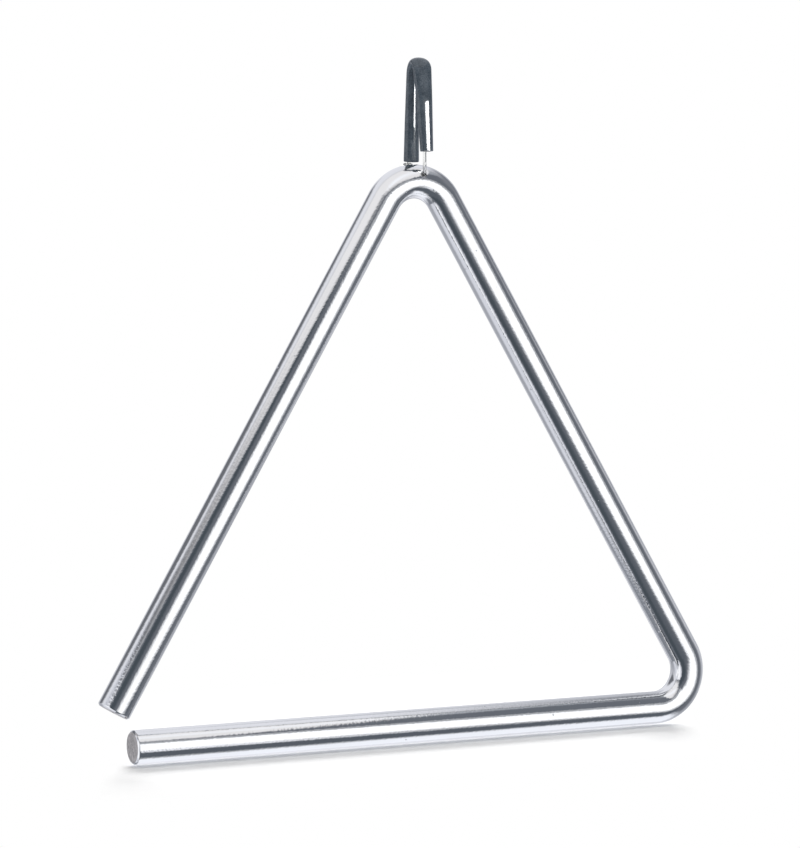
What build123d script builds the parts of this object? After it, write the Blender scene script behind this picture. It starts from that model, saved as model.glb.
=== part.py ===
"""Percussion triangle: a plated steel rod bent at two corners and open at the third, hung from a finger loop.

The loop is a nylon line that passes through a hole across the rod's apex, and a soft tube slipped over the line.
The origin is the hanging point, at the inside of the loop's top. +Z is up, the rod lies in the XZ plane,
and -Y is the side that faces the player. Lengths are in millimetres and angles in degrees.
"""

import os
from math import cos, pi, radians, sin, tan

from build123d import *

# Rod, measured along its centre line as if its bends were sharp, with two ends that stop short of the open corner
rod_diameter = 8.0
leg_length = 160.5
open_leg_shortfall = 9.9
base_shortfall = 9.7
apex_angle = 61.0
bend_radius = 9.0
end_chamfer_length = 0.4
end_chamfer_depth = 0.4

# Hole across the apex, above the rod's centre line and a little towards the closed corner, so the base hangs level
hole_diameter = 1.6
hole_rise = 1.6
hole_offset = 0.9

# Finger loop: its drop from the hanging point to the rod, the fold at its top and how far its strands spread
hang_drop = 22.9
fold_radius = 2.1
strand_splay = 6.3
front_mouth_gap = 3.1
tube_seat_gap = 0.3

# Soft tube, round at its mouths and pressed flat where it folds
tube_diameter = 3.4
tube_wall = 0.6
tube_fold_width = 4.5
tube_fold_thickness = 2.3

# Line, its bends at the hole's two mouths, and the knot behind the rod that ties its ends
line_diameter = 0.9
line_bend_radius = 1.3
knot_rise = 0.3
knot_wrap_radius = 0.8
knot_wrap_tilt = 28.0
knot_setback = 0.2
knot_tail_length = 1.9
knot_tail_spread = 40.0

cut_overrun = 1.0

# Places that follow from the sizes above
rod_radius = rod_diameter / 2
line_radius = line_diameter / 2
half_apex = radians(apex_angle / 2)
rod_top_z = -hang_drop
apex_z = rod_top_z - rod_radius
hole_z = apex_z + hole_rise
sharp_apex = (-hole_offset, apex_z - bend_radius + bend_radius / sin(half_apex))
fold_centre = (0, tube_fold_thickness / 2 - fold_radius)
knot_top_z = rod_top_z + knot_rise
knot_z = knot_top_z - line_radius - knot_wrap_radius * sin(radians(knot_wrap_tilt))


def leg_point(side, length):
    """The point on the left (-1) or right (+1) leg's centre line, that far from the sharp apex, as X and Z."""
    x, z = sharp_apex
    return (x + side * length * sin(half_apex), z - length * cos(half_apex))


def strand_point(side, z):
    """The point at height z on the loop's front (-1) or back (+1) strand, as Y and Z."""
    splay = radians(strand_splay)
    reach = fold_radius / cos(splay) + (fold_centre[1] - z) * tan(splay)
    return (side * reach, z)


def strand_plane(side, z):
    """The plane across a strand at height z, with its own X along the rod's X."""
    splay = radians(strand_splay)
    return Plane(origin=(0, *strand_point(side, z)), x_dir=(1, 0, 0), z_dir=(0, side * sin(splay), -cos(splay)))


def tube_form(inset):
    """The finger tube's outside, or its bore where the wall is taken off as an inset, as one solid."""
    with BuildPart() as form:
        with BuildLine(Plane.YZ) as fold_route:
            CenterArc(*fold_arc)
        with BuildSketch(strand_plane(-1, strand_top_z)):
            Ellipse(tube_fold_width / 2 - inset, tube_fold_thickness / 2 - inset)
        sweep(path=fold_route.wire())
        for side, mouth_z in ((-1, front_mouth_z), (1, back_mouth_z)):
            with BuildSketch(strand_plane(side, strand_top_z)):
                Ellipse(tube_fold_width / 2 - inset, tube_fold_thickness / 2 - inset)
            with BuildSketch(strand_plane(side, mouth_z)):
                Circle(tube_diameter / 2 - inset)
            loft()
    return form.part


strand_top_z = fold_centre[1] + fold_radius * sin(radians(strand_splay))
fold_arc = (fold_centre, fold_radius, 180 - strand_splay, 2 * strand_splay - 180)
front_mouth_z = rod_top_z + front_mouth_gap
back_mouth_z = knot_top_z + tube_seat_gap
front_mouth = strand_point(-1, front_mouth_z)
back_mouth = strand_point(1, back_mouth_z)
closed_corner = leg_point(1, leg_length)
open_corner = leg_point(-1, leg_length)
open_leg_end = leg_point(-1, leg_length - open_leg_shortfall)
base_end = (open_corner[0] + base_shortfall, open_corner[1])

# Bent rod, with chamfered ends and the hole for the line
with BuildPart() as triangle_rod:
    with BuildLine(Plane.XZ) as rod_route:
        FilletPolyline(open_leg_end, sharp_apex, closed_corner, base_end, radius=bend_radius)
    rod_wire = rod_route.wire()
    with BuildSketch(Plane(origin=rod_wire @ 0, z_dir=rod_wire % 0)):
        Circle(rod_radius)
    sweep(path=rod_wire)
    for end_face in triangle_rod.faces().filter_by(GeomType.PLANE):
        chamfer(end_face.edges(), end_chamfer_length, end_chamfer_depth, reference=end_face)
    with BuildSketch(Plane.XZ):
        with Locations((0, hole_z)):
            Circle(hole_diameter / 2)
    extrude(amount=rod_radius + cut_overrun, both=True, mode=Mode.SUBTRACT)
triangle_rod.part.label = "triangle_rod"

# Soft tube over the line, from its front mouth over the loop's top to its back mouth, which sits on the knot
tube_outside = tube_form(0)
tube_bore = tube_form(tube_wall)
with BuildPart() as finger_tube:
    add(tube_outside)
    add(tube_bore, mode=Mode.SUBTRACT)
finger_tube.part.label = "finger_tube"

# Line: a closed loop through the tube and the hole, with two crossed wraps and two cut tails where its ends are tied
with BuildPart() as suspension_line:
    with BuildLine(Plane.YZ) as line_route:
        FilletPolyline(
            strand_point(-1, strand_top_z),
            front_mouth,
            (front_mouth[0], hole_z),
            (back_mouth[0], hole_z),
            back_mouth,
            strand_point(1, strand_top_z),
            radius=line_bend_radius,
        )
        CenterArc(*fold_arc)
    line_wire = line_route.wire()
    with BuildSketch(Plane(origin=line_wire @ 0, z_dir=line_wire % 0)):
        Circle(line_radius)
    sweep(path=line_wire)
    knot_centre = (0, back_mouth[0] + knot_setback, knot_z)
    for side in (-1, 1):
        with Locations(Location(knot_centre, (0, side * knot_wrap_tilt, 0))):
            Torus(knot_wrap_radius, line_radius)
        tail_spread = radians(side * knot_tail_spread)
        with BuildSketch(Plane(origin=knot_centre, z_dir=(sin(tail_spread), cos(tail_spread), 0))):
            Circle(line_radius)
        extrude(amount=knot_tail_length)
suspension_line.part.label = "suspension_line"

os.makedirs("parts", exist_ok=True)
for piece in (triangle_rod, finger_tube, suspension_line):
    export_step(piece.part, f"parts/{piece.part.label}.step")

rod_section = pi * rod_radius**2
line_section = pi * line_radius**2
print("rod: length", round(rod_wire.length, 1), "volume", round(triangle_rod.part.volume, 1))
print("rod: section x length", round(rod_section * rod_wire.length, 1))
print("rod: centre of mass", triangle_rod.part.center(CenterOf.MASS))
print("tube: volume", round(finger_tube.part.volume, 2))
print("line: loop length", round(line_wire.length, 2), "volume with knot", round(suspension_line.part.volume, 2))
print("line: section x loop length", round(line_section * line_wire.length, 2))
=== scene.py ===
"""Looks of a percussion triangle: a bent plated rod, a clear line through its apex and a soft finger tube.

Everything is in metres in the part's own frame: +Z up, the rod in the XZ plane, -Y towards the player.
"""

from math import cos, pi, radians, sin, tan

import bmesh
import bpy
from mathutils import Matrix, Vector


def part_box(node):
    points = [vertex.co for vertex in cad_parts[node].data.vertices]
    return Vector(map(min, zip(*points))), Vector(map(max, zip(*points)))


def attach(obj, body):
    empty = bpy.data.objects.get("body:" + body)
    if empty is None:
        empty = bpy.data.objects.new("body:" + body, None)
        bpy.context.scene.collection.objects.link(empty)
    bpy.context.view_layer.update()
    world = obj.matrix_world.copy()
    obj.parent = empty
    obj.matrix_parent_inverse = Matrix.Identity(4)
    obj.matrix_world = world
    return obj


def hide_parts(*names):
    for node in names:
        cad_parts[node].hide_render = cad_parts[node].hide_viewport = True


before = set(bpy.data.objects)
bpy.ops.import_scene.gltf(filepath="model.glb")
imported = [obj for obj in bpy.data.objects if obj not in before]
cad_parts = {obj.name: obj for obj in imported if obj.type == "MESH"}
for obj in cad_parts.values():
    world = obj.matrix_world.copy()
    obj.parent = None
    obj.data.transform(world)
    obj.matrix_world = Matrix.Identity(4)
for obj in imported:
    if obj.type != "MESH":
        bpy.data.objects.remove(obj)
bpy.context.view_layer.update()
mm = 0.001

# Rod sizes, as in the part's source
rod_radius = 4.0 * mm
half_apex = radians(30.5)
bend_radius = 9.0 * mm
leg_length = 160.5 * mm
open_leg_shortfall = 9.9 * mm
base_shortfall = 9.7 * mm
end_face_radius = 3.6 * mm
chamfer_length = 0.4 * mm
hole_radius = 0.8 * mm
hole_place = Vector((0, 0, -25.3)) * mm
apex_bend_centre = Vector((-0.9, 0, -35.9)) * mm

# Rod end faces: the radii of their turned rings in millimetres, the nib in their middle, how far under
# the end's plane a face still counts as theirs, and their softened edges
end_ring_radii = (3.2, 2.4, 1.6, 0.9, 0.45)
nib_rise = 0.1 * mm
nib_taper = 0.6
face_slack = 0.01 * mm
end_softening = 0.06 * mm

# Finger loop sizes, as in the part's source
fold_radius = 2.1 * mm
splay = radians(6.3)
fold_centre = Vector((0, 0, -0.95)) * mm
front_mouth_z = -19.8 * mm
back_mouth_z = -22.3 * mm
tube_radius = 1.7 * mm
tube_wall = 0.6 * mm
mouth_softening = 0.1 * mm
line_radius = 0.45 * mm
line_bend_radius = 1.3 * mm

# How the soft loop hangs: how far each strand bows towards the player, at what share of its height it kinks,
# how steeply the fold drops towards the back and how much the back strand twists
front_bow = 0.30 * mm
front_kink = 0.62
back_bow = 0.80 * mm
back_kink = 0.44
fold_lean = 0.22
back_twist = 0.10

# How the soft tube lies on each strand: its half width, half depth and shift to the right in millimetres,
# and how square its section is (2 is round), each at its mouth, at its kink and at the fold
front_lie = ((1.60, 1.16, 0.50, 2.08), (1.96, 1.22, 0.22, 2.08), (2.34, 1.10, 0.03, 2.2))
back_lie = ((1.90, 1.50, 0.64, 2.0), (1.82, 1.35, -0.10, 2.0), (1.72, 1.10, -0.06, 2.0))
fold_half_depth = front_lie[2][1] * mm

# How finely the pieces are divided, round them and along them
rod_sides = 96
apex_steps = 144
corner_steps = 96
hole_sides = 48
tube_sides = 72
tube_front_steps = 36
tube_fold_steps = 48
tube_back_steps = 40
line_sides = 20
line_strand_steps = 20
line_bend_steps = 12
line_fold_steps = 32
hold_length = 0.3 * mm

# Points closer than this are one, and edges steeper than these angles in degrees are sharp
weld_gap = 0.001 * mm
hard_crease = 35
soft_crease = 50
mouth_crease = 60

# Directions and places along the rod's centre line
left_way = Vector((-sin(half_apex), 0, -cos(half_apex)))
right_way = Vector((sin(half_apex), 0, -cos(half_apex)))
base_way = Vector((-1, 0, 0))
sharp_apex = apex_bend_centre + Vector((0, 0, bend_radius / sin(half_apex)))
closed_corner = sharp_apex + leg_length * right_way
open_leg_end = sharp_apex + (leg_length - open_leg_shortfall) * left_way
base_end = sharp_apex + leg_length * left_way - base_shortfall * base_way


def strand_point(side, z):
    """The point at height z on the loop's front (-1) or back (+1) strand."""
    reach = fold_radius / cos(splay) + (fold_centre.z - z) * tan(splay)
    return Vector((0, side * reach, z))


# Places along the finger loop
strand_top_z = fold_centre.z + fold_radius * sin(splay)
front_top = strand_point(-1, strand_top_z)
back_top = strand_point(1, strand_top_z)
front_mouth = strand_point(-1, front_mouth_z)
back_mouth = strand_point(1, back_mouth_z)


# Mesh tools

def ring_edges(geom):
    """The edges among an operator's new geometry whose two ends are both new."""
    fresh = {g for g in geom if isinstance(g, bmesh.types.BMVert)}
    return [g for g in geom if isinstance(g, bmesh.types.BMEdge) and set(g.verts) <= fresh]


def ring_verts(ring):
    """The corners of a ring of edges."""
    return list({v for e in ring for v in e.verts})


def start_ring(bm, centre, way, radius, sides):
    """A circle of edges across a way."""
    place = Matrix.Translation(centre) @ way.to_track_quat("Z", "Y").to_matrix().to_4x4()
    verts = bmesh.ops.create_circle(bm, segments=sides, radius=radius, matrix=place)["verts"]
    return list({e for v in verts for e in v.link_edges})


def pull(bm, ring, step, swell=1.0):
    """Extrudes a ring of edges by a step, and swells or shrinks the new ring about its middle."""
    ring = ring_edges(bmesh.ops.extrude_edge_only(bm, edges=ring)["geom"])
    verts = ring_verts(ring)
    bmesh.ops.translate(bm, verts=verts, vec=step)
    if swell != 1.0:
        middle = sum((v.co for v in verts), Vector()) / len(verts)
        bmesh.ops.scale(bm, verts=verts, vec=(swell, swell, swell), space=Matrix.Translation(-middle))
    return ring


def pull_steps(bm, ring, reach, steps):
    """Extrudes a ring of edges along a reach in equal steps."""
    for _ in range(steps):
        ring = pull(bm, ring, reach / steps)
    return ring


def pull_straight(bm, ring, way, length):
    """Extrudes a straight run with a ring near each end, so that its shading stays straight between them."""
    for part in (hold_length, length - 2 * hold_length, hold_length):
        ring = pull(bm, ring, part * way)
    return ring


def turn(bm, ring, centre, axis, angle, steps):
    """Spins a ring of edges about an axis and gives the ring at the far end."""
    done = bmesh.ops.spin(
        bm, geom=ring_verts(ring) + ring, cent=centre, axis=axis, angle=angle, steps=steps,
        use_duplicate=False,
    )
    return [g for g in done["geom_last"] if isinstance(g, bmesh.types.BMEdge)]


def lean(bm, ring, centre, angle):
    """Tips a ring of edges about its middle, so that the next run leaves it square."""
    bmesh.ops.rotate(bm, verts=ring_verts(ring), cent=centre, matrix=Matrix.Rotation(angle, 3, "X"))


def soften(bm, edges, softening):
    """Rounds sharp edges a little."""
    bmesh.ops.bevel(
        bm, geom=edges, offset=softening, offset_type="OFFSET", segments=3, profile=0.5,
        affect="EDGES", material=-1, clamp_overlap=True,
    )


def shade(mesh, crease):
    """Shades a mesh smooth but for its sharp edges."""
    mesh.shade_smooth()
    mesh.set_sharp_from_angle(angle=radians(crease))


def add_object(name, data):
    """A new object in the scene."""
    thing = bpy.data.objects.new(name, data)
    bpy.context.scene.collection.objects.link(thing)
    return thing


def made_mesh(thing):
    """The mesh that an object's modifiers or curve settings make of it."""
    return bpy.data.meshes.new_from_object(thing.evaluated_get(bpy.context.evaluated_depsgraph_get()))


def finish_mesh(bm, name, crease=hard_crease):
    """Closes a bmesh into an object whose faces point outwards."""
    bmesh.ops.remove_doubles(bm, verts=bm.verts, dist=weld_gap)
    bmesh.ops.recalc_face_normals(bm, faces=bm.faces)
    mesh = bpy.data.meshes.new(name)
    bm.to_mesh(mesh)
    bm.free()
    shade(mesh, crease)
    return add_object(name, mesh)


# Rod

def end_face(bm, ring, outward):
    """Closes a rod end with rings of turned face round a small raised nib."""
    radius = end_face_radius
    for smaller in end_ring_radii:
        ring = pull(bm, ring, Vector(), smaller * mm / radius)
        radius = smaller * mm
    ring = pull(bm, ring, nib_rise * outward, nib_taper)
    bmesh.ops.edgeloop_fill(bm, edges=ring)


def mark_end(bm, turned, middle, outward):
    """Keeps the radius round a rod end's middle for its marks, and gives its face the second material."""
    for vert in bm.verts:
        away = vert.co - middle
        if away.length < 2 * rod_radius:
            vert[turned] = (away - away.dot(outward) * outward).length
    for face in bm.faces:
        away = face.calc_center_median() - middle
        if away.dot(outward) > -face_slack and away.length < rod_radius:
            face.material_index = 1


def drill_hole(rod):
    """Cuts the line's hole across the rod's apex."""
    drill = bmesh.new()
    way_through = Matrix.Translation(hole_place) @ Matrix.Rotation(pi / 2, 4, "X")
    bmesh.ops.create_cone(
        drill, cap_ends=True, segments=hole_sides, radius1=hole_radius, radius2=hole_radius,
        depth=4 * rod_radius, matrix=way_through,
    )
    cutter = finish_mesh(drill, "drill")
    cut = rod.modifiers.new("hole", "BOOLEAN")
    cut.object = cutter
    cut.solver = "EXACT"
    drilled = made_mesh(rod)
    rod.modifiers.clear()
    rod.data = drilled
    bpy.data.objects.remove(cutter)
    shade(drilled, hard_crease)


def bent_rod():
    """The rod as one swept bar, from the open leg's end over both bends to the base's end."""
    bm = bmesh.new()
    first = start_ring(bm, open_leg_end, -left_way, end_face_radius, rod_sides)
    soft_edges = list(first)
    end_face(bm, first, left_way)
    ring = pull(bm, first, -chamfer_length * left_way, rod_radius / end_face_radius)
    soft_edges += ring
    apex_run = bend_radius / tan(half_apex)
    corner_half = radians(45) - half_apex / 2
    corner_run = bend_radius / tan(corner_half)
    ring = pull_straight(bm, ring, -left_way, leg_length - open_leg_shortfall - apex_run - chamfer_length)
    ring = turn(bm, ring, apex_bend_centre, (0, 1, 0), pi - 2 * half_apex, apex_steps)
    ring = pull_straight(bm, ring, right_way, leg_length - apex_run - corner_run)
    inward = (base_way - right_way).normalized()
    corner_centre = closed_corner + inward * bend_radius / sin(corner_half)
    ring = turn(bm, ring, corner_centre, (0, 1, 0), pi - 2 * corner_half, corner_steps)
    base_run = (base_end - closed_corner).length - corner_run - chamfer_length
    ring = pull_straight(bm, ring, base_way, base_run)
    soft_edges += ring
    last = pull(bm, ring, chamfer_length * base_way, end_face_radius / rod_radius)
    soft_edges += last
    end_face(bm, last, base_way)
    soften(bm, soft_edges, end_softening)
    turned = bm.verts.layers.float.new("turned")
    mark_end(bm, turned, open_leg_end, left_way)
    mark_end(bm, turned, base_end, base_way)
    rod = finish_mesh(bm, "bent_rod")
    drill_hole(rod)
    return rod


# Finger loop

def loop_place(point):
    """Where a point lies along the loop: its point on the plain route, the way out of the loop there,
    its share of the way up from the strand's mouth (1 all over the fold), and its share from back to front."""
    side = -1 if point.y < 0 else 1
    top, mouth = (front_top, front_mouth) if side < 0 else (back_top, back_mouth)
    down = (mouth - top).normalized()
    along = (point - top).dot(down)
    if along > 0:
        out = Vector((0, side * cos(splay), sin(splay)))
        return top + along * down, out, 1 - along / (mouth - top).length, (1 - side) / 2
    out = Vector((0, point.y, point.z - fold_centre.z)).normalized()
    return fold_centre + fold_radius * out, out, 1.0, (1 - out.y / cos(splay)) / 2


def between(lie, kink, share):
    """A strand's half width, half depth, shift and squareness at a share of the way up it."""
    mouth, bend, top = (Vector(step) for step in lie)
    share = min(max(share, 0), 1)
    if share < kink:
        return mouth.lerp(bend, share / kink)
    return bend.lerp(top, (share - kink) / (1 - kink))


def loop_sag(on_route, out, share, front):
    """How the soft loop hangs away from the plain route: bowed strands, a fold that is lower at its back,
    and a front strand whose outer face stays straight where the tube is pressed flat."""
    front_part = min(share / front_kink, (1 - share) / (1 - front_kink))
    back_part = min(share / back_kink, (1 - share) / (1 - back_kink))
    bow = front_bow * max(front_part, 0) if front > 0.5 else back_bow * max(back_part, 0)
    drop = fold_lean * (on_route.y - front_top.y) * max(share, 0)
    lift = front * max(share, 0) * (tube_radius - fold_half_depth)
    return lift * out - Vector((0, bow, max(drop, 0)))


def press_flat(vert):
    """Moves a point of the round sleeve to where the soft tube lies."""
    on_route, out, share, front = loop_place(vert.co)
    lie = between(front_lie, front_kink, share) * front + between(back_lie, back_kink, share) * (1 - front)
    depth = (vert.co - on_route).dot(out) / tube_radius
    across = vert.co.x / tube_radius
    swell = (abs(depth) ** lie.w + abs(across) ** lie.w) ** (-1 / lie.w) * mm
    beside = swell * across * lie.x
    twist = back_twist * max(share, 0) * (1 - front) * beside
    place = on_route + swell * depth * lie.y * out + Vector((beside + lie.z * mm, twist, 0))
    vert.co = place + loop_sag(on_route, out, share, front)


def finger_tube():
    """The soft tube: a round sleeve over both strands and the fold, then pressed to its lie."""
    bm = bmesh.new()
    up = (front_top - front_mouth).normalized()
    ring = start_ring(bm, front_mouth, up, tube_radius, tube_sides)
    ring = pull_steps(bm, ring, front_top - front_mouth, tube_front_steps)
    ring = turn(bm, ring, fold_centre, (-1, 0, 0), pi - 2 * splay, tube_fold_steps)
    pull_steps(bm, ring, back_mouth - back_top, tube_back_steps)
    bmesh.ops.recalc_face_normals(bm, faces=bm.faces)
    for vert in bm.verts:
        press_flat(vert)
    bmesh.ops.solidify(bm, geom=bm.faces[:], thickness=tube_wall)
    bm.edges.ensure_lookup_table()
    mouths = [e for e in bm.edges if len(e.link_faces) == 2 and e.calc_face_angle() > radians(mouth_crease)]
    soften(bm, mouths, mouth_softening)
    return finish_mesh(bm, "soft_finger_tube", crease=soft_crease)


def knot_strand():
    """The tied ends: a strand that comes in as one tail, goes twice round the line and leaves as the other."""
    middle = Vector((0, back_mouth.y / mm + 0.2, -23.43))
    route = (
        (1.45, 1.5, -0.1), (0.95, 1.0, -0.15), (0.2, 0.75, -0.42), (-0.62, 0.62, -0.3), (-0.9, 0.0, 0.05),
        (-0.62, -0.62, 0.3), (0.0, -0.9, 0.38), (0.62, -0.62, 0.25), (0.9, 0.0, 0.0), (0.62, 0.62, -0.05),
        (0.0, 0.9, 0.28), (-0.62, 0.66, 0.42), (-0.92, 0.0, 0.42), (-0.6, -0.66, 0.0), (0.0, -0.9, -0.38),
        (0.62, -0.62, -0.42), (0.9, 0.0, -0.4), (0.6, 0.6, -0.3), (0.0, 0.85, 0.02), (-0.7, 1.15, 0.12),
        (-1.4, 1.55, 0.05),
    )
    curve = bpy.data.curves.new("knot", "CURVE")
    curve.dimensions = "3D"
    spline = curve.splines.new("NURBS")
    spline.points.add(len(route) - 1)
    for point, place in zip(spline.points, route):
        point.co = (*((middle + Vector(place)) * mm), 1)
    spline.order_u = 4
    spline.use_endpoint_u = True
    curve.resolution_u = 6
    curve.bevel_depth = line_radius
    curve.bevel_resolution = 4
    curve.use_fill_caps = True
    knot = add_object("knot", curve)
    mesh = made_mesh(knot)
    bpy.data.objects.remove(knot)
    return mesh


def suspension_line():
    """The clear line: a closed loop down the front strand, through the rod's hole and up the back strand,
    and its knot."""
    bm = bmesh.new()
    bend_z = hole_place.z + line_bend_radius
    front_bend = (0, front_mouth.y + line_bend_radius, bend_z)
    back_bend = (0, back_mouth.y - line_bend_radius, bend_z)
    ring = start_ring(bm, front_top, (front_mouth - front_top).normalized(), line_radius, line_sides)
    ring = pull_steps(bm, ring, front_mouth - front_top, line_strand_steps)
    lean(bm, ring, front_mouth, splay)
    ring = pull(bm, ring, Vector((0, 0, bend_z - front_mouth.z)))
    ring = turn(bm, ring, front_bend, (1, 0, 0), pi / 2, line_bend_steps)
    ring = pull(bm, ring, Vector((0, back_mouth.y - front_mouth.y - 2 * line_bend_radius, 0)))
    ring = turn(bm, ring, back_bend, (1, 0, 0), pi / 2, line_bend_steps)
    ring = pull(bm, ring, Vector((0, 0, back_mouth.z - bend_z)))
    lean(bm, ring, back_mouth, splay)
    ring = pull_steps(bm, ring, back_top - back_mouth, line_strand_steps)
    turn(bm, ring, fold_centre, (1, 0, 0), pi - 2 * splay, line_fold_steps)
    for vert in bm.verts:
        on_route, out, share, front = loop_place(vert.co)
        if share > 0:
            vert.co += loop_sag(on_route, out, share, front)
    bm.from_mesh(knot_strand())
    return finish_mesh(bm, "clear_line", crease=soft_crease)


# Material tools

def new_material(name):
    """A fresh node material, with its tree, its shader and Object coordinates."""
    material = bpy.data.materials.new(name)
    material.use_nodes = True
    tree = material.node_tree
    shader = tree.nodes["Principled BSDF"]
    coords = tree.nodes.new("ShaderNodeTexCoord").outputs["Object"]
    return material, tree, shader, coords


def add_noise(tree, coords, scale, detail=2.0, roughness=0.5):
    """Cloudy noise."""
    node = tree.nodes.new("ShaderNodeTexNoise")
    node.inputs["Scale"].default_value = scale
    node.inputs["Detail"].default_value = detail
    node.inputs["Roughness"].default_value = roughness
    tree.links.new(coords, node.inputs["Vector"])
    return node.outputs["Fac"]


def add_range(tree, value, low, high, to_low, to_high):
    """Carries a value from one range to another, held at both ends."""
    node = tree.nodes.new("ShaderNodeMapRange")
    for socket, number in zip(node.inputs[1:5], (low, high, to_low, to_high)):
        socket.default_value = number
    tree.links.new(value, node.inputs["Value"])
    return node.outputs["Result"]


def add_ramp(tree, value, low, high):
    """A smooth step from 0 to 1 between two values."""
    ramp = add_range(tree, value, low, high, 0.0, 1.0)
    ramp.node.interpolation_type = "SMOOTHSTEP"
    return ramp


def add_math(tree, kind, first, second):
    """A sum on two values, each a number or a socket."""
    node = tree.nodes.new("ShaderNodeMath")
    node.operation = kind
    for socket, value in zip(node.inputs, (first, second)):
        if isinstance(value, (int, float)):
            socket.default_value = value
        else:
            tree.links.new(value, socket)
    return node.outputs["Value"]


def add_blend(tree, share, first, second):
    """A colour between two colours, each given as numbers or as a socket."""
    node = tree.nodes.new("ShaderNodeMix")
    node.data_type = "RGBA"
    for socket, colour in zip([s for s in node.inputs if s.type == "RGBA"], (first, second)):
        if isinstance(colour, tuple):
            socket.default_value = (*colour, 1)
        else:
            tree.links.new(colour, socket)
    tree.links.new(share, node.inputs["Factor"])
    return [s for s in node.outputs if s.type == "RGBA"][0]


def add_bump(tree, height, distance, under=None):
    """Raises the surface by a height, over other bumps where there are some under it."""
    node = tree.nodes.new("ShaderNodeBump")
    node.inputs["Strength"].default_value = 1.0
    node.inputs["Distance"].default_value = distance
    tree.links.new(height, node.inputs["Height"])
    if under is not None:
        tree.links.new(under, node.inputs["Normal"])
    return node.outputs["Normal"]


def add_along(tree, place, way):
    """How far a place lies along a direction."""
    node = tree.nodes.new("ShaderNodeVectorMath")
    node.operation = "DOT_PRODUCT"
    node.inputs[1].default_value = way
    tree.links.new(place, node.inputs[0])
    return node.outputs["Value"]


# Materials

def chrome_plate():
    """Bright plating: a mirror with a faint polish haze, a fine ripple under it and a few small pits."""
    material, tree, shader, coords = new_material("chrome_plate")
    shader.inputs["Metallic"].default_value = 1.0
    haze = add_noise(tree, coords, scale=90.0, detail=4.0)
    tone = add_blend(tree, haze, (0.77, 0.775, 0.78), (0.84, 0.845, 0.85))
    tree.links.new(tone, shader.inputs["Base Color"])
    spots = tree.nodes.new("ShaderNodeTexVoronoi")
    spots.inputs["Scale"].default_value = 220.0
    tree.links.new(coords, spots.inputs["Vector"])
    pits = add_range(tree, spots.outputs["Distance"], 0.03, 0.08, 1.0, 0.0)
    polish = add_range(tree, add_noise(tree, coords, scale=600.0, detail=3.0), 0.35, 0.7, 0.025, 0.045)
    dullness = add_math(tree, "MAXIMUM", polish, add_math(tree, "MULTIPLY", pits, 0.7))
    tree.links.new(dullness, shader.inputs["Roughness"])
    ripple = add_bump(tree, add_noise(tree, coords, scale=1500.0), 0.022 * mm)
    tree.links.new(add_bump(tree, pits, 0.01 * mm, under=ripple), shader.inputs["Normal"])
    return material


def bare_end():
    """The rod's end faces: bare cut steel, duller than the plating, with a grain and turned marks."""
    material, tree, shader, coords = new_material("bare_end")
    shader.inputs["Metallic"].default_value = 1.0
    mark_spacing = 0.32 * mm
    radius = tree.nodes.new("ShaderNodeAttribute")
    radius.attribute_name = "turned"
    phase = add_math(tree, "MULTIPLY", radius.outputs["Fac"], 2 * pi / mark_spacing)
    marks = add_math(tree, "MULTIPLY", add_math(tree, "SINE", phase, 0.0), 0.22)
    grain = add_noise(tree, coords, scale=1300.0, detail=5.0, roughness=0.6)
    tone = add_math(tree, "ADD", marks, add_range(tree, grain, 0.3, 0.7, 0.0, 1.0))
    steel = add_blend(tree, tone, (0.36, 0.34, 0.325), (0.78, 0.735, 0.70))
    tree.links.new(steel, shader.inputs["Base Color"])
    tree.links.new(add_range(tree, grain, 0.3, 0.7, 0.26, 0.36), shader.inputs["Roughness"])
    tree.links.new(add_bump(tree, tone, 0.008 * mm), shader.inputs["Normal"])
    return material


def black_vinyl():
    """Soft black vinyl: glossy, with faint draw lines along it and a slightly cloudy skin."""
    material, tree, shader, coords = new_material("black_vinyl")
    cloud = add_noise(tree, coords, scale=350.0, detail=4.0)
    fleck = add_noise(tree, coords, scale=3200.0, detail=3.0, roughness=0.6)
    fleck_share = add_range(tree, fleck, 0.36, 0.64, 0.0, 0.6)
    mottle = add_math(tree, "ADD", fleck_share, add_range(tree, cloud, 0.35, 0.65, 0.0, 0.4))
    skin = add_blend(tree, mottle, (0.044, 0.061, 0.080), (0.138, 0.167, 0.200))
    tree.links.new(skin, shader.inputs["Base Color"])
    tree.links.new(add_range(tree, cloud, 0.3, 0.7, 0.06, 0.10), shader.inputs["Roughness"])
    stretch = tree.nodes.new("ShaderNodeMapping")
    stretch.inputs["Scale"].default_value = (1.0, 1.0, 0.06)
    tree.links.new(coords, stretch.inputs["Vector"])
    lines = add_noise(tree, stretch.outputs["Vector"], scale=2200.0)
    tree.links.new(add_bump(tree, lines, 0.003 * mm), shader.inputs["Normal"])
    return material


def clear_nylon():
    """Clear monofilament with a faint milky cloud and fine draw marks."""
    material, tree, shader, coords = new_material("clear_nylon")
    shader.inputs["Transmission Weight"].default_value = 0.95
    shader.inputs["IOR"].default_value = 1.53
    cloud = add_noise(tree, coords, scale=900.0, detail=3.0)
    milk = add_blend(tree, cloud, (0.90, 0.91, 0.91), (0.96, 0.96, 0.95))
    tree.links.new(milk, shader.inputs["Base Color"])
    tree.links.new(add_range(tree, cloud, 0.3, 0.7, 0.05, 0.1), shader.inputs["Roughness"])
    tree.links.new(add_bump(tree, cloud, 0.0005 * mm), shader.inputs["Normal"])
    return material


# Pieces

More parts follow.
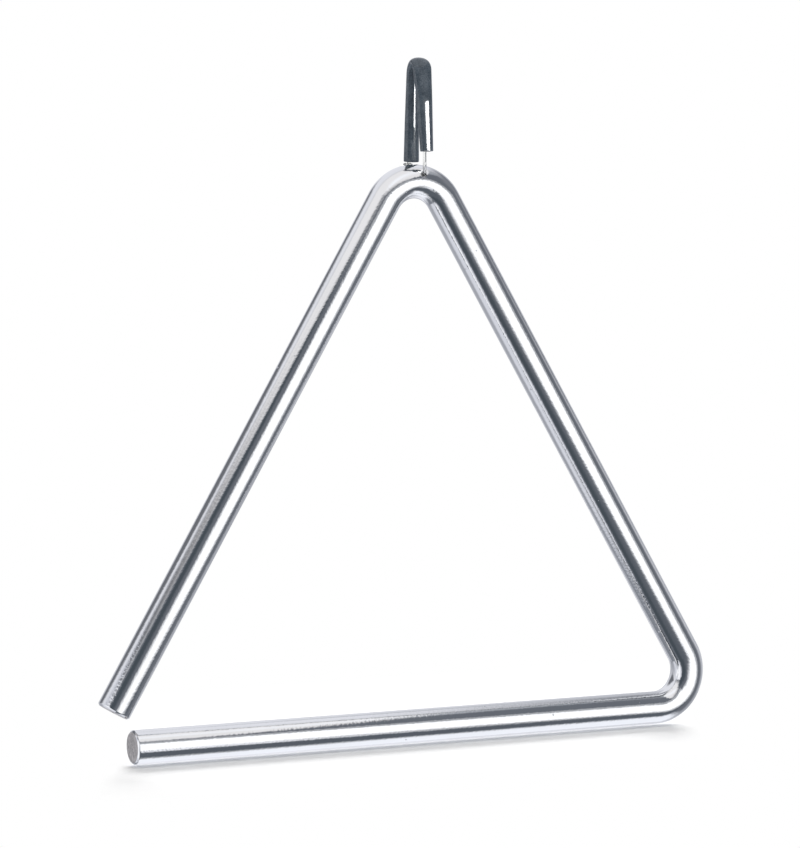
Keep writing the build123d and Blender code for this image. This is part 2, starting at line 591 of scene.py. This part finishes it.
rod = bent_rod()
rod.data.materials.append(chrome_plate())
rod.data.materials.append(bare_end())
tube = finger_tube()
tube.data.materials.append(black_vinyl())
line = suspension_line()
line.data.materials.append(clear_nylon())
for piece, body, node, slot in (
    (rod, "triangle", "triangle_rod", "chrome_plate"),
    (tube, "hanger", "finger_tube", "black_vinyl"),
    (line, "hanger", "suspension_line", "clear_nylon"),
):
    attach(piece, body)
    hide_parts(node)

# Floor: pale just under the rod, with its soft shadow on a patch that fades to white on all sides.
# Each side of the patch has a place where it starts to fade and one where it is white, and its left and right
# sides run back slantwise.

floor_gap = 0.4 * mm
floor_size = 6.0
patch_slant = (1, -0.475, 0)
left_white, left_start = -79.0 * mm, -73.5 * mm
right_start, right_white = 69.0 * mm, 76.5 * mm
back_start, back_white = 20.0 * mm, 100.0 * mm
front_start, front_white = 18.0 * mm, 42.0 * mm
floor_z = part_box("triangle_rod")[0].z - floor_gap


def pale_floor():
    """Matt pale floor, white to the camera off the patch."""
    material, tree, shader, coords = new_material("pale_floor")
    shader.inputs["Base Color"].default_value = (0.96, 0.96, 0.96, 1)
    shader.inputs["Roughness"].default_value = 0.9
    shader.inputs["Specular IOR Level"].default_value = 0.0
    column = add_along(tree, coords, patch_slant)
    behind = add_along(tree, coords, (0, 1, 0))
    before = add_math(tree, "MULTIPLY", behind, -1.0)
    off_patch = add_range(tree, column, left_white, left_start, 1.0, 0.0)
    for value, start, white in (
        (column, right_start, right_white),
        (behind, back_start, back_white),
        (before, front_start, front_white),
    ):
        off_patch = add_math(tree, "MAXIMUM", off_patch, add_range(tree, value, start, white, 0.0, 1.0))
    path = tree.nodes.new("ShaderNodeLightPath")
    glow = tree.nodes.new("ShaderNodeEmission")
    blend = tree.nodes.new("ShaderNodeMixShader")
    tree.links.new(add_math(tree, "MULTIPLY", path.outputs["Is Camera Ray"], off_patch), blend.inputs["Fac"])
    tree.links.new(shader.outputs["BSDF"], blend.inputs[1])
    tree.links.new(glow.outputs["Emission"], blend.inputs[2])
    tree.links.new(blend.outputs["Shader"], tree.nodes["Material Output"].inputs["Surface"])
    return material


ground = bmesh.new()
ground_place = Matrix.Translation((0, 0, floor_z))
bmesh.ops.create_grid(ground, x_segments=1, y_segments=1, size=floor_size, matrix=ground_place)
floor = finish_mesh(ground, "floor")
floor.data.materials.append(pale_floor())
floor.visible_glossy = False

# World: white to the eye and through the line, and even light on dull surfaces

dull_level = 0.36
world = bpy.data.worlds.new("studio")
bpy.context.scene.world = world
world.use_nodes = True
tree = world.node_tree
sky = tree.nodes["Background"]
path = tree.nodes.new("ShaderNodeLightPath")
seen = add_math(tree, "MAXIMUM", path.outputs["Is Camera Ray"], path.outputs["Is Transmission Ray"])
sky_level = add_math(tree, "ADD", dull_level, add_math(tree, "MULTIPLY", seen, 1.0 - dull_level))
tree.links.new(sky_level, sky.inputs["Strength"])
sky.inputs["Color"].default_value = (1, 1, 1, 1)

# Studio: one closed dome that only gloss sees, painted in four ground colours and then in soft-edged zones,
# each over the ones before it. A zone has the azimuth from -Y towards +X and the height angle that it is
# measured from, its left, right, bottom and top edges, the slope and the softness of each edge, all as
# tangents seen from the object's middle, and its colour.

object_middle = Vector((0, 0, -91.3)) * mm
dome_middle = Vector((117, 153, -182)) * mm
dome_reach = Vector((705, 822, 363)) * mm
back_edge = (-0.189, 0.296)
up_edge = (-0.5, 0.5)
front_low = (0.161, 0.175, 0.203)
front_high = (0.162, 0.176, 0.205)
rear_low = (0.428, 0.443, 0.491)
rear_high = (0.891, 0.901, 0.963)
# How much brighter the dome is for light that the gloss throws on dull surfaces, and the least distance
# ahead at which a zone is painted
thrown_gain = 0.6
least_reach = 0.001 * mm
zones = (
    # White low down behind
    dict(azimuth=147.6, height=-60.2, edges=(-0.71, 0.76, -1.22, 0.17), slopes=(1.00, -0.13, 1.00, 0.03),
         softness=(0.45, 0.32, 0.10, 0.45), colour=(1.077, 1.102, 1.181)),
    # Light high over the left
    dict(azimuth=-40.6, height=61.6, edges=(-1.22, 1.03, -0.49, 0.76), slopes=(-0.75, -0.33, 0.32, 1.00),
         softness=(0.45, 0.18, 0.45, 0.45), colour=(0.968, 0.958, 0.976)),
    # Pale panel on the left
    dict(azimuth=-109.0, height=-19.7, edges=(-0.28, 1.05, -0.82, 0.98), slopes=(0.41, 0.58, -0.34, -0.03),
         softness=(0.45, 0.45, 0.03, 0.12), colour=(0.793, 0.811, 0.886)),
    # Brighter strip on the left
    dict(azimuth=-68.5, height=-22.1, edges=(-0.66, -0.08, -0.76, 0.85), slopes=(-0.45, 0.15, -1.00, 0.28),
         softness=(0.33, 0.14, 0.45, 0.45), colour=(1.155, 1.164, 1.203)),
    # Dark on the right, towards the back
    dict(azimuth=130.1, height=33.1, edges=(-0.87, 0.06, -0.94, 0.30), slopes=(-0.83, -0.37, -0.57, -0.22),
         softness=(0.45, 0.40, 0.03, 0.45), colour=(0.230, 0.242, 0.274)),
    # Thin light high over the right
    dict(azimuth=25.1, height=63.0, edges=(-0.56, 0.76, -0.00, 0.07), slopes=(0.32, -0.92, 0.13, -0.05),
         softness=(0.45, 0.45, 0.45, 0.45), colour=(1.255, 1.304, 1.395)),
    # Dark behind
    dict(azimuth=-169.8, height=8.1, edges=(-0.13, 0.68, 0.06, 0.60), slopes=(0.18, 0.87, -0.66, 0.08),
         softness=(0.45, 0.45, 0.45, 0.45), colour=(0.172, 0.180, 0.202)),
    # Dark low down in front
    dict(azimuth=-22.7, height=-36.5, edges=(-0.12, 1.38, -0.97, 0.11), slopes=(0.17, -0.96, 0.04, -0.24),
         softness=(0.17, 0.03, 0.45, 0.32), colour=(0.115, 0.130, 0.155)),
    # Dark grey low down behind on the left
    dict(azimuth=-143.7, height=-60.5, edges=(-0.31, 0.44, -0.41, 0.24), slopes=(-0.06, 0.87, -0.36, -0.79),
         softness=(0.45, 0.38, 0.45, 0.16), colour=(0.249, 0.266, 0.305)),
    # Darkest, in front on the left
    dict(azimuth=-27.2, height=-6.9, edges=(-0.56, -0.01, -1.93, 1.17), slopes=(-0.09, -0.08, -0.39, 1.00),
         softness=(0.25, 0.35, 0.03, 0.45), colour=(0.073, 0.089, 0.107)),
    # Dark gap on the left
    dict(azimuth=-80.2, height=31.3, edges=(-0.33, 0.22, -0.14, -0.01), slopes=(-1.00, -0.07, 0.16, 0.09),
         softness=(0.45, 0.23, 0.12, 0.45), colour=(0.163, 0.165, 0.181)),
    # Grey panel on the right, towards the back
    dict(azimuth=129.9, height=8.5, edges=(-0.23, 0.26, -0.48, 0.50), slopes=(0.30, 0.23, 0.40, 0.83),
         softness=(0.03, 0.45, 0.03, 0.03), colour=(0.587, 0.603, 0.657)),
    # Grey straight down
    dict(azimuth=-40.9, height=-79.9, edges=(-0.64, 0.40, -0.05, 0.06), slopes=(-0.99, -1.00, -0.27, -0.17),
         softness=(0.03, 0.45, 0.32, 0.12), colour=(0.350, 0.365, 0.387)),
    # White behind on the right, a little below the middle
    dict(azimuth=149.4, height=-35.1, edges=(-0.39, 0.39, -0.33, 0.18), slopes=(0.49, 0.74, -0.79, 0.16),
         softness=(0.03, 0.13, 0.45, 0.43), colour=(0.987, 0.995, 1.064)),
    # Grey rim of the front light
    dict(azimuth=-6.5, height=-29.1, edges=(0.47, 2.19, 0.06, 1.61), slopes=(-0.48, 0.98, -0.23, 0.18),
         softness=(0.15, 0.34, 0.30, 0.13), colour=(0.458, 0.471, 0.501)),
    # Soft edge of the front light
    dict(azimuth=3.9, height=-33.1, edges=(-0.31, 0.98, 0.22, 1.33), slopes=(0.08, 0.42, -0.21, -0.03),
         softness=(0.45, 0.41, 0.34, 0.03), colour=(1.055, 1.061, 1.093)),
    # Front light
    dict(azimuth=7.4, height=-32.2, edges=(-0.05, 0.66, 0.22, 1.34), slopes=(-0.14, 0.51, -0.13, -0.35),
         softness=(0.15, 0.04, 0.15, 0.03), colour=(1.289, 1.300, 1.332)),
)


def compass_way(azimuth, height):
    """The direction at an azimuth from -Y towards +X and at a height angle."""
    az = radians(azimuth)
    el = radians(height)
    return Vector((sin(az) * cos(el), -cos(az) * cos(el), sin(el)))


def add_zone(tree, place, under, azimuth, height, edges, slopes, softness, colour):
    """Paints one zone over what is under it."""
    out = compass_way(azimuth, height)
    across = Vector((0, 0, 1)).cross(out).normalized()
    up = out.cross(across)
    ahead = add_along(tree, place, out)
    near = add_math(tree, "MAXIMUM", ahead, least_reach)
    u = add_math(tree, "DIVIDE", add_along(tree, place, across), near)
    v = add_math(tree, "DIVIDE", add_along(tree, place, up), near)
    cover = add_math(tree, "GREATER_THAN", ahead, least_reach)
    sides = ((1, u, v), (-1, u, v), (1, v, u), (-1, v, u))
    for (inward, here, other), edge, slope, soft in zip(sides, edges, slopes, softness):
        limit = add_math(tree, "ADD", add_math(tree, "MULTIPLY", other, slope), edge)
        depth = add_math(tree, "MULTIPLY", add_math(tree, "SUBTRACT", here, limit), inward)
        cover = add_math(tree, "MULTIPLY", cover, add_ramp(tree, depth, -soft / 2, soft / 2))
    return add_blend(tree, cover, under, colour)


def dome_paint():
    """The dome's glow: ground colours from front to rear and from low to high, then the zones over them."""
    material, tree, shader, coords = new_material("studio_dome")
    tree.nodes.remove(shader)
    away = tree.nodes.new("ShaderNodeVectorMath")
    away.operation = "SUBTRACT"
    away.inputs[1].default_value = object_middle
    tree.links.new(coords, away.inputs[0])
    place = away.outputs["Vector"]
    way = tree.nodes.new("ShaderNodeVectorMath")
    way.operation = "NORMALIZE"
    tree.links.new(place, way.inputs[0])
    back_share = add_ramp(tree, add_along(tree, way.outputs["Vector"], (0, 1, 0)), *back_edge)
    up_share = add_ramp(tree, add_along(tree, way.outputs["Vector"], (0, 0, 1)), *up_edge)
    front = add_blend(tree, up_share, front_low, front_high)
    rear = add_blend(tree, up_share, rear_low, rear_high)
    paint = add_blend(tree, back_share, front, rear)
    for zone in zones:
        paint = add_zone(tree, place, paint, **zone)
    light = tree.nodes.new("ShaderNodeEmission")
    tree.links.new(paint, light.inputs["Color"])
    path = tree.nodes.new("ShaderNodeLightPath")
    thrown = add_math(tree, "GREATER_THAN", path.outputs["Diffuse Depth"], 0.5)
    strength = add_math(tree, "ADD", add_math(tree, "MULTIPLY", thrown, thrown_gain), 1.0)
    tree.links.new(strength, light.inputs["Strength"])
    tree.links.new(light.outputs["Emission"], tree.nodes["Material Output"].inputs["Surface"])
    material.cycles.emission_sampling = "NONE"
    return material


dome_ball = bmesh.new()
bmesh.ops.create_uvsphere(dome_ball, u_segments=128, v_segments=64, radius=1.0)
bmesh.ops.scale(dome_ball, verts=dome_ball.verts, vec=dome_reach)
bmesh.ops.translate(dome_ball, verts=dome_ball.verts, vec=dome_middle)
dome = finish_mesh(dome_ball, "studio_dome")
dome.data.materials.append(dome_paint())
dome.visible_camera = False
dome.visible_diffuse = False
dome.visible_transmission = False
dome.visible_shadow = False
dome.visible_volume_scatter = False

# Lamps: a weak one high over the front, a wide one high behind for the floor's shadow, which lights the
# floor alone, and one inside the dome for the soft tube's gloss, which lights the tube alone

tube_middle = Vector((0, 0, -12)) * mm
tube_lamp_distance = 0.5


def soft_lamp(name, place, aim, size, power):
    """A rectangular lamp turned to its aim, which neither the camera nor gloss sees."""
    light = bpy.data.lights.new(name, "AREA")
    light.shape = "RECTANGLE"
    light.size, light.size_y = size
    light.energy = power
    lamp = add_object(name, light)
    lamp.location = place
    lamp.rotation_euler = (Vector(aim) - Vector(place)).to_track_quat("-Z", "Y").to_euler()
    lamp.visible_glossy = False
    lamp.visible_camera = False
    return lamp


def light_only(lamp, piece):
    """Keeps a lamp's light to one piece."""
    lit = bpy.data.collections.new("lit_by_" + lamp.name)
    lit.objects.link(piece)
    lamp.light_linking.receiver_collection = lit


soft_lamp("front_lamp", place=(0.05, -0.3, 0.75), aim=(0, 0, -0.1), size=(0.7, 0.6), power=2.8)
back_lamp = soft_lamp(
    "back_lamp", place=(0.42, 0.80, floor_z + 0.66), aim=(0, 0, floor_z), size=(0.9, 0.76), power=15.5
)
light_only(back_lamp, floor)
tube_lamp_place = tube_middle + tube_lamp_distance * compass_way(25, -4)
tube_lamp = soft_lamp("tube_lamp", place=tube_lamp_place, aim=tube_middle, size=(0.30, 0.243), power=8.5)
tube_lamp.visible_glossy = True
tube_lamp.visible_diffuse = False
light_only(tube_lamp, tube)

# Camera at the photograph's place

camera_aim = Vector((-4.442, 0, -84.101)) * mm
camera_distance = 880.557 * mm
camera_back = compass_way(-25.393, 4.653)
eye = bpy.data.cameras.new("camera")
eye.sensor_width = 36
eye.lens = 158.15
eye.clip_start = 0.01
camera = add_object("camera", eye)
camera.location = camera_aim + camera_distance * camera_back
camera.rotation_euler = (-camera_back).to_track_quat("-Z", "Y").to_euler()
bpy.context.scene.camera = camera
bpy.context.scene.view_settings.view_transform = "Standard"
